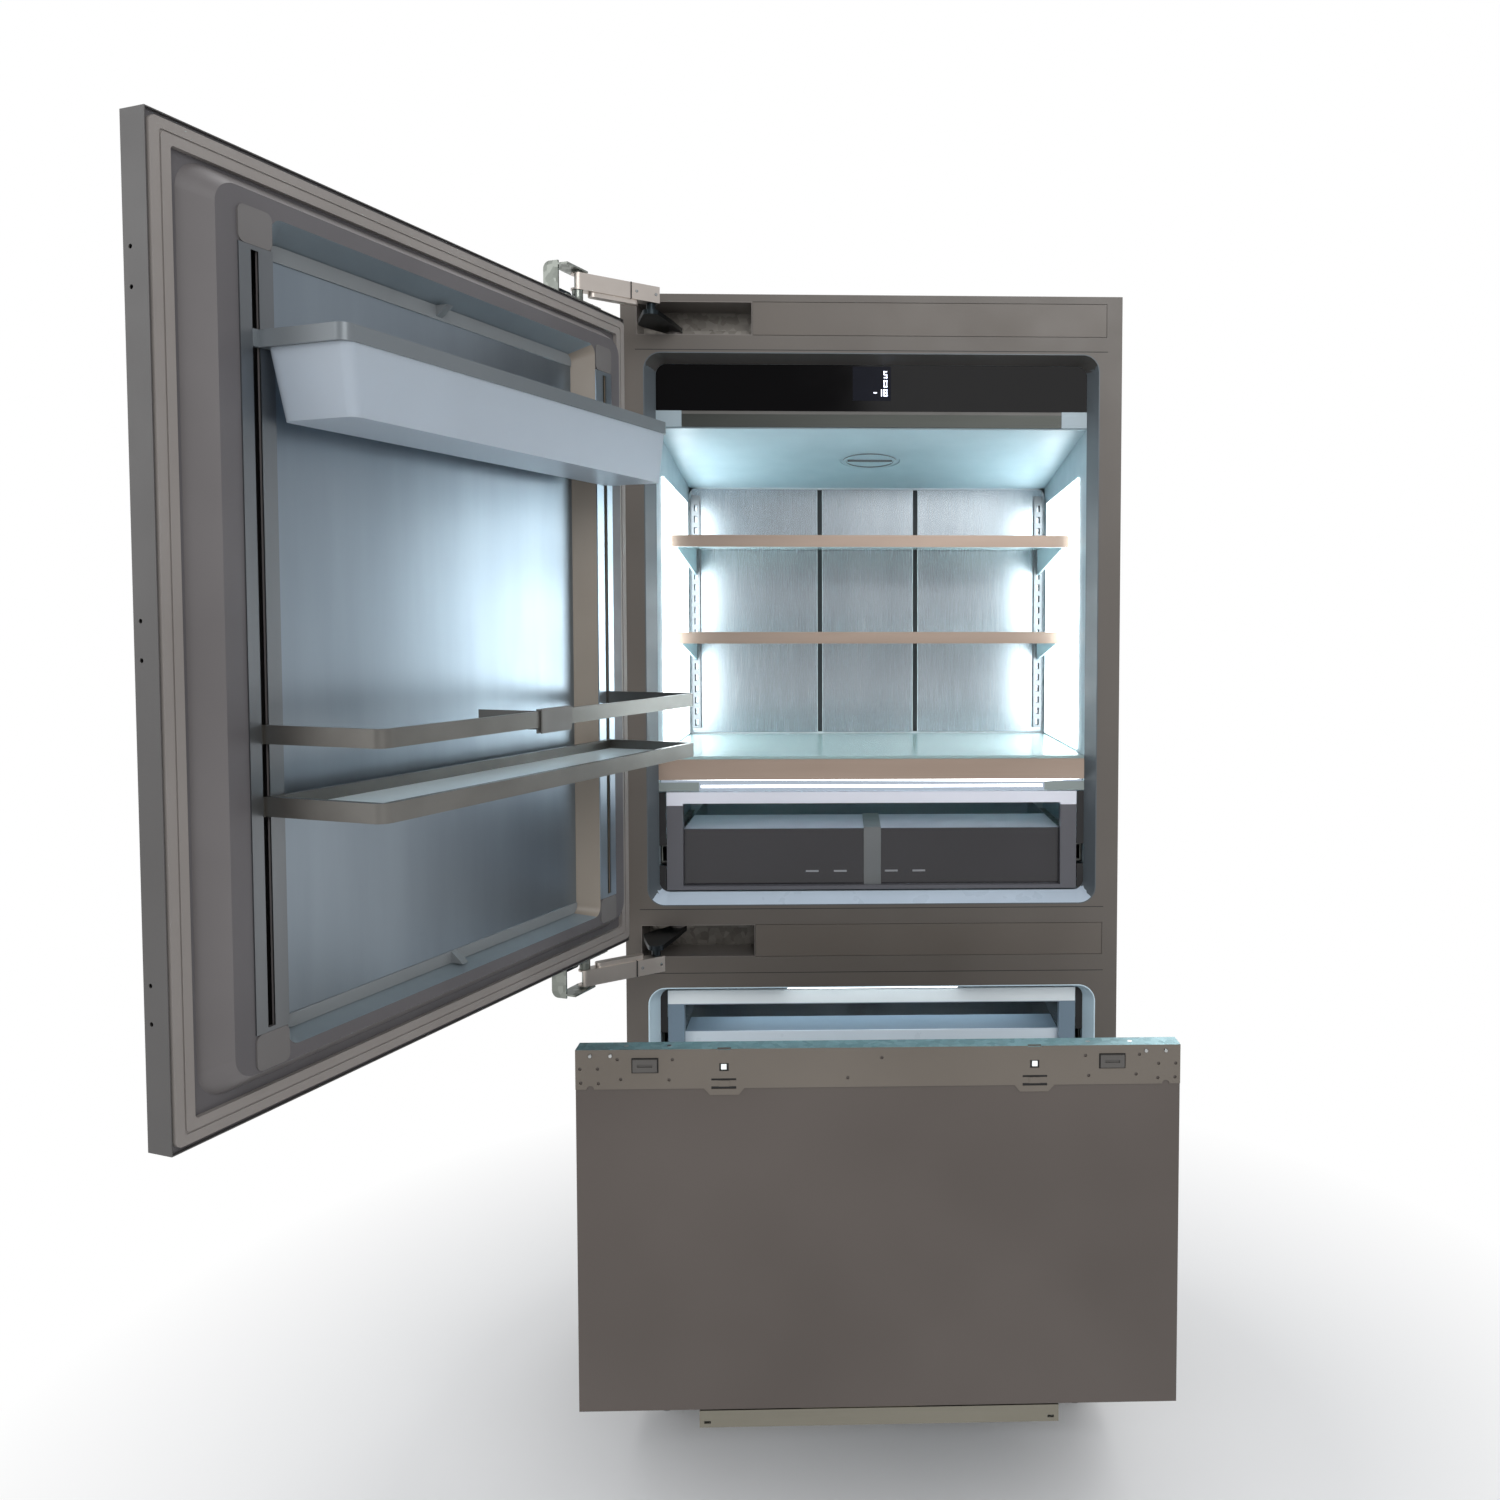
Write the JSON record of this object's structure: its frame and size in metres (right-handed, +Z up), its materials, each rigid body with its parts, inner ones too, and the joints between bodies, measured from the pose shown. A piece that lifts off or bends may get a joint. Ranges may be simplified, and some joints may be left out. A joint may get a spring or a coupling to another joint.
{
  "type": "integrated fridge freezer",
  "caption": "Tall built-in fridge over a freezer drawer, for kitchen panels: hinged door with racks, glass shelves, drawers on runners, and linked concealed hinges.",
  "frame": {"origin": "on the floor, under the middle of the cabinet's front plane", "axes": "+X to the right seen from the front, +Y from the front into the niche, +Z up"},
  "size_m": [1.2451, 1.5064, 2.125],
  "materials": {
    "steel_sheet": "satin taupe",
    "brushed_steel": "brushed",
    "chrome": "polished",
    "dark_steel": "satin",
    "galvanised": "matt zinc",
    "aluminium": "satin",
    "white_plastic": "satin",
    "grey_plastic": "satin",
    "black_plastic": "matt",
    "black_gloss": "gloss",
    "clear_plastic": "frosted clear",
    "gasket_rubber": "matt",
    "glass": "clear",
    "smoked_glass": "smoked",
    "lamp": "lit diffuser"
  },
  "bodies": {
    "cabinet": {"casing_wrap": "steel_sheet", "back_panel": "galvanised", "base_pan": "galvanised", "front_frame": "steel_sheet", "cover_strips": "steel_sheet", "hinge_housings": "dark_steel", "fridge_liner": "white_plastic", "freezer_liner": "white_plastic", "control_panel": "black_gloss", "front_trims": "brushed_steel", "ceiling_cover": "white_plastic", "led_lamps": "lamp", "duct_covers": "white_plastic", "back_wall_panels": "brushed_steel", "shelf_rails": "brushed_steel", "shelf_frames": "brushed_steel", "shelf_glasses": "glass", "fixed_runners": "brushed_steel", "compressor": "dark_steel", "condenser": "aluminium", "evaporators": "aluminium", "feet": "galvanised", "toe_grille": "galvanised", "mains_inlet": "black_plastic"},
    "door": {"door_shell": "steel_sheet", "door_liner": "white_plastic", "door_gasket": "gasket_rubber", "door_inner_panel": "brushed_steel", "door_rails": "brushed_steel", "door_bin": "clear_plastic", "door_bin_rim": "brushed_steel", "door_rack": "brushed_steel", "rack_glass": "glass", "hinge_door_brackets": "brushed_steel"},
    "bottle_divider": {"bottle_divider": "grey_plastic"},
    "hinge_links": {"hinge_links": "dark_steel"},
    "hinge_arms": {"hinge_arms": "chrome"},
    "freezer_front": {"freezer_front_panel": "brushed_steel", "freezer_front_liner": "white_plastic", "freezer_front_gasket": "gasket_rubber", "freezer_top_bracket": "brushed_steel", "panel_adjusters": "grey_plastic", "freezer_lower_rail": "brushed_steel", "freezer_basket": "clear_plastic", "front_drawer_runners": "brushed_steel"},
    "front_middle_runners": {"front_middle_runners": "brushed_steel"},
    "inner_drawer": {"inner_drawer_frame": "brushed_steel", "inner_drawer_window": "smoked_glass", "inner_drawer_bin": "clear_plastic", "inner_drawer_runners": "brushed_steel"},
    "inner_middle_runners": {"inner_middle_runners": "brushed_steel"},
    "fresh_drawer": {"fresh_drawer_frame": "brushed_steel", "fresh_drawer_window": "smoked_glass", "fresh_drawer_bin": "clear_plastic", "fresh_drawer_lid": "white_plastic", "fresh_drawer_runners": "brushed_steel"},
    "fresh_middle_runners": {"fresh_middle_runners": "brushed_steel"},
    "condenser_fan": {"condenser_fan": "black_plastic"},
    "freezer_fan": {"freezer_fan": "black_plastic"},
    "filter_cover": {"filter_cover": "white_plastic"}
  },
  "joints": [
    {"name": "door_hinge", "type": "hinge", "parent": "cabinet", "child": "door", "pos_m": [-0.4693, -0.0485, 1.5155], "axis": [0, 0, -1], "range_deg": [-111.17, 4]},
    {"name": "link_pivot", "type": "hinge", "parent": "cabinet", "child": "hinge_links", "pos_m": [-0.3613, 0.0295, 1.5155], "axis": [0, 0, -1], "range_deg": [-112.17, 5]},
    {"name": "arm_pivot", "type": "hinge", "parent": "hinge_links", "child": "hinge_arms", "pos_m": [-0.38373, -0.0935, 1.5155], "axis": [0, 0, -1], "range_deg": [-5, 112.17]},
    {"name": "divider_slide", "type": "slide", "parent": "door", "child": "bottle_divider", "axis": [-0.3611, -0.9325, 0], "range_m": [-0.33, 0.25]},
    {"name": "freezer_front_slide", "type": "slide", "parent": "cabinet", "child": "freezer_front", "axis": [0, -1, 0], "range_m": [-0.386, 0.044]},
    {"name": "front_runner_slide", "type": "slide", "parent": "cabinet", "child": "front_middle_runners", "axis": [0, -1, 0], "range_m": [-0.194, 0.023]},
    {"name": "inner_drawer_slide", "type": "slide", "parent": "cabinet", "child": "inner_drawer", "axis": [0, -1, 0], "range_m": [0, 0.34]},
    {"name": "inner_runner_slide", "type": "slide", "parent": "cabinet", "child": "inner_middle_runners", "axis": [0, -1, 0], "range_m": [0, 0.171]},
    {"name": "fresh_drawer_slide", "type": "slide", "parent": "cabinet", "child": "fresh_drawer", "axis": [0, -1, 0], "range_m": [0, 0.34]},
    {"name": "fresh_runner_slide", "type": "slide", "parent": "cabinet", "child": "fresh_middle_runners", "axis": [0, -1, 0], "range_m": [0, 0.171]},
    {"name": "condenser_fan_spin", "type": "hinge", "parent": "cabinet", "child": "condenser_fan", "pos_m": [-0.16, 0.342, 0.2], "axis": [0, 1, 0], "continuous": true},
    {"name": "freezer_fan_spin", "type": "hinge", "parent": "cabinet", "child": "freezer_fan", "pos_m": [0, 0.4865, 0.64], "axis": [0, 1, 0], "continuous": true},
    {"name": "filter_cover_twist", "type": "hinge", "parent": "cabinet", "child": "filter_cover", "pos_m": [0, 0.255, 1.8625], "axis": [0, -0.123, -0.9924], "range_deg": [0, 45]}
  ],
  "couplings": [
    {"joint": "link_pivot", "follows": "door_hinge", "ratio": 1},
    {"joint": "arm_pivot", "follows": "door_hinge", "ratio": -1},
    {"joint": "front_runner_slide", "follows": "freezer_front_slide", "ratio": 0.5},
    {"joint": "inner_runner_slide", "follows": "inner_drawer_slide", "ratio": 0.5},
    {"joint": "fresh_runner_slide", "follows": "fresh_drawer_slide", "ratio": 0.5}
  ]
}
